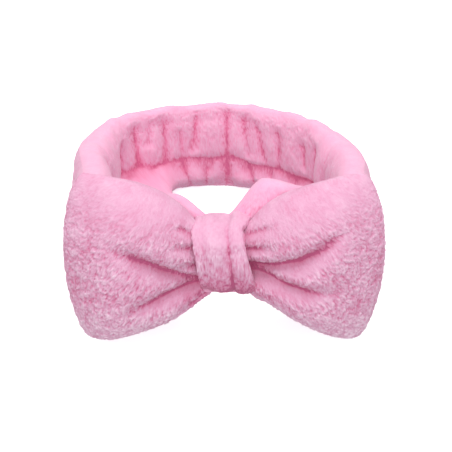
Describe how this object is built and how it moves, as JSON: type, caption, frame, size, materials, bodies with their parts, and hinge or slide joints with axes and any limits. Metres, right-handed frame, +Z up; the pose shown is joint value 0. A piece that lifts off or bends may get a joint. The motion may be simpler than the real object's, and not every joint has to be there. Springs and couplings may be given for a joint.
{
  "type": "spa headband with bow",
  "caption": "Plush spa headband: a gathered elastic rear tube, a plain front tube and a stuffed bow held by a wrapped knot.",
  "frame": {"origin": "on the table, under the middle of the headband as it lies", "axes": "+Z up, -Y towards the bow, +X to the right of someone facing the bow"},
  "size_m": [0.179, 0.2061, 0.0933],
  "materials": {
    "plush": "coral fleece with a 3 mm brushed pile",
    "elastic": "woven white elastic braid",
    "filling": "loose white polyester fibre",
    "thread": "pink polyester sewing thread"
  },
  "bodies": {
    "front_band": {"front_sleeve": "plush", "left_join_stitches": "thread", "right_join_stitches": "thread", "bow_waist": "plush", "waist_thread": "thread", "bow_tack_stitches": "thread", "knot_wrap": "plush", "knot_closing_stitches": "thread"},
    "rear_band": {"rear_sleeve": "plush", "elastic_band": "elastic", "rear_sleeve_seam": "thread"},
    "left_wing": {"bow_left_front_panel": "plush", "bow_left_back_panel": "plush", "bow_left_filling": "filling", "bow_left_edge_seam": "thread"},
    "right_wing": {"bow_right_front_panel": "plush", "bow_right_back_panel": "plush", "bow_right_filling": "filling", "bow_right_edge_seam": "thread"}
  },
  "joints": [
    {"name": "band_stretch", "type": "slide", "parent": "front_band", "child": "rear_band", "axis": [0, 1, 0], "range_m": [0, 0.06], "stiffness_N_per_m": 120, "deforming": ["rear_sleeve", "elastic_band", "rear_sleeve_seam"]},
    {"name": "left_wing_flex", "type": "hinge", "parent": "front_band", "child": "left_wing", "pos_m": [-0.0162, -0.08548, 0.0513], "axis": [0, 0.1219, 0.9925], "range_deg": [0, 35], "stiffness_Nm_per_rad": 0.02},
    {"name": "right_wing_flex", "type": "hinge", "parent": "front_band", "child": "right_wing", "pos_m": [0.0162, -0.08548, 0.0513], "axis": [0, -0.1219, -0.9925], "range_deg": [0, 35], "stiffness_Nm_per_rad": 0.02}
  ]
}
